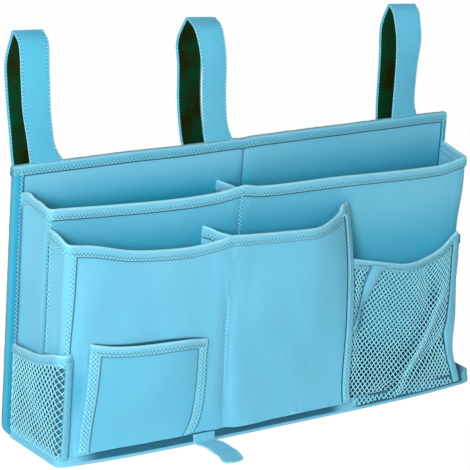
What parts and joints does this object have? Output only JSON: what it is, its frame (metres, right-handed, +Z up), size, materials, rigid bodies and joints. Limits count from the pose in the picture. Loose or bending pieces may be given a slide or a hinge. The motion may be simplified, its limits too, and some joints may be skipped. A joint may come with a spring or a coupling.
{
  "type": "bedside caddy",
  "caption": "Hanging fabric bedside organiser with two rows of divided pockets, net pockets, a stiff back panel and hook-and-loop strap loops.",
  "frame": {"origin": "middle of the base's underside, which stands on the floor or table", "axes": "+X to the user's right along the panel, +Y towards the bed behind the back panel, +Z up"},
  "size_m": [0.52, 0.2047, 0.3799],
  "materials": {
    "blue_oxford_cloth": "matte",
    "blue_edging_tape": "matte",
    "blue_net": "matte",
    "hook_and_loop_tape": "matte",
    "stiffening_board": "matte"
  },
  "bodies": {
    "caddy": {"back_lining": "blue_oxford_cloth", "back_cover": "blue_oxford_cloth", "back_board_left": "stiffening_board", "back_board_right": "stiffening_board", "back_edging": "blue_edging_tape", "back_hem": "blue_edging_tape", "base_cover": "blue_oxford_cloth", "base_board": "stiffening_board", "base_lining": "blue_oxford_cloth", "base_band": "blue_oxford_cloth", "rear_wall": "blue_oxford_cloth", "rear_gusset_left": "blue_oxford_cloth", "rear_gusset_right": "blue_oxford_cloth", "rear_divider": "blue_oxford_cloth", "rear_edging_front": "blue_edging_tape", "rear_edging_left": "blue_edging_tape", "rear_edging_right": "blue_edging_tape", "rear_divider_edging": "blue_edging_tape", "front_wall": "blue_oxford_cloth", "front_gusset_left": "blue_oxford_cloth", "front_gusset_right": "blue_oxford_cloth", "front_divider": "blue_oxford_cloth", "front_edging": "blue_edging_tape", "front_gusset_edging": "blue_edging_tape", "front_divider_edging": "blue_edging_tape", "front_corner_strip": "blue_edging_tape", "front_end_strip": "blue_edging_tape", "patch_pocket": "blue_oxford_cloth", "patch_edging": "blue_edging_tape", "front_net": "blue_net", "front_net_band": "blue_oxford_cloth", "left_net": "blue_net", "left_net_band": "blue_oxford_cloth", "right_net": "blue_net", "right_net_band": "blue_oxford_cloth", "loop_patch_left": "hook_and_loop_tape", "loop_patch_center": "hook_and_loop_tape", "loop_patch_right": "hook_and_loop_tape", "bottom_strap_root": "blue_oxford_cloth"},
    "left_strap_front_leg": {"strap_left_front": "blue_oxford_cloth", "strap_left_front_tape": "hook_and_loop_tape"},
    "left_strap_back_leg": {"strap_left_back": "blue_oxford_cloth", "strap_left_back_tape": "hook_and_loop_tape"},
    "center_strap_front_leg": {"strap_center_front": "blue_oxford_cloth", "strap_center_front_tape": "hook_and_loop_tape"},
    "center_strap_back_leg": {"strap_center_back": "blue_oxford_cloth", "strap_center_back_tape": "hook_and_loop_tape"},
    "right_strap_front_leg": {"strap_right_front": "blue_oxford_cloth", "strap_right_front_tape": "hook_and_loop_tape"},
    "right_strap_back_leg": {"strap_right_back": "blue_oxford_cloth", "strap_right_back_tape": "hook_and_loop_tape"},
    "bottom_strap": {"bottom_strap_flap": "blue_oxford_cloth", "bottom_strap_tape": "hook_and_loop_tape"}
  },
  "joints": [
    {"name": "left_strap_seam", "type": "hinge", "parent": "caddy", "child": "left_strap_front_leg", "pos_m": [-0.228, 0.0402, 0.2663], "axis": [1, 0, 0], "range_deg": [0, 100]},
    {"name": "left_strap_fold", "type": "hinge", "parent": "left_strap_front_leg", "child": "left_strap_back_leg", "pos_m": [-0.228, 0.0802, 0.3803], "axis": [1, 0, 0], "range_deg": [0, 150]},
    {"name": "center_strap_seam", "type": "hinge", "parent": "caddy", "child": "center_strap_front_leg", "pos_m": [-0.033, 0.0402, 0.2663], "axis": [1, 0, 0], "range_deg": [0, 100]},
    {"name": "center_strap_fold", "type": "hinge", "parent": "center_strap_front_leg", "child": "center_strap_back_leg", "pos_m": [-0.033, 0.0802, 0.3803], "axis": [1, 0, 0], "range_deg": [0, 150]},
    {"name": "right_strap_seam", "type": "hinge", "parent": "caddy", "child": "right_strap_front_leg", "pos_m": [0.198, 0.0402, 0.2663], "axis": [1, 0, 0], "range_deg": [0, 100]},
    {"name": "right_strap_fold", "type": "hinge", "parent": "right_strap_front_leg", "child": "right_strap_back_leg", "pos_m": [0.198, 0.0622, 0.3803], "axis": [1, 0, 0], "range_deg": [0, 150]},
    {"name": "bottom_strap_seam", "type": "hinge", "parent": "caddy", "child": "bottom_strap", "pos_m": [-0.0925, -0.05416, 0.0015], "axis": [1, 0, 0], "range_deg": [-80, 90]}
  ]
}
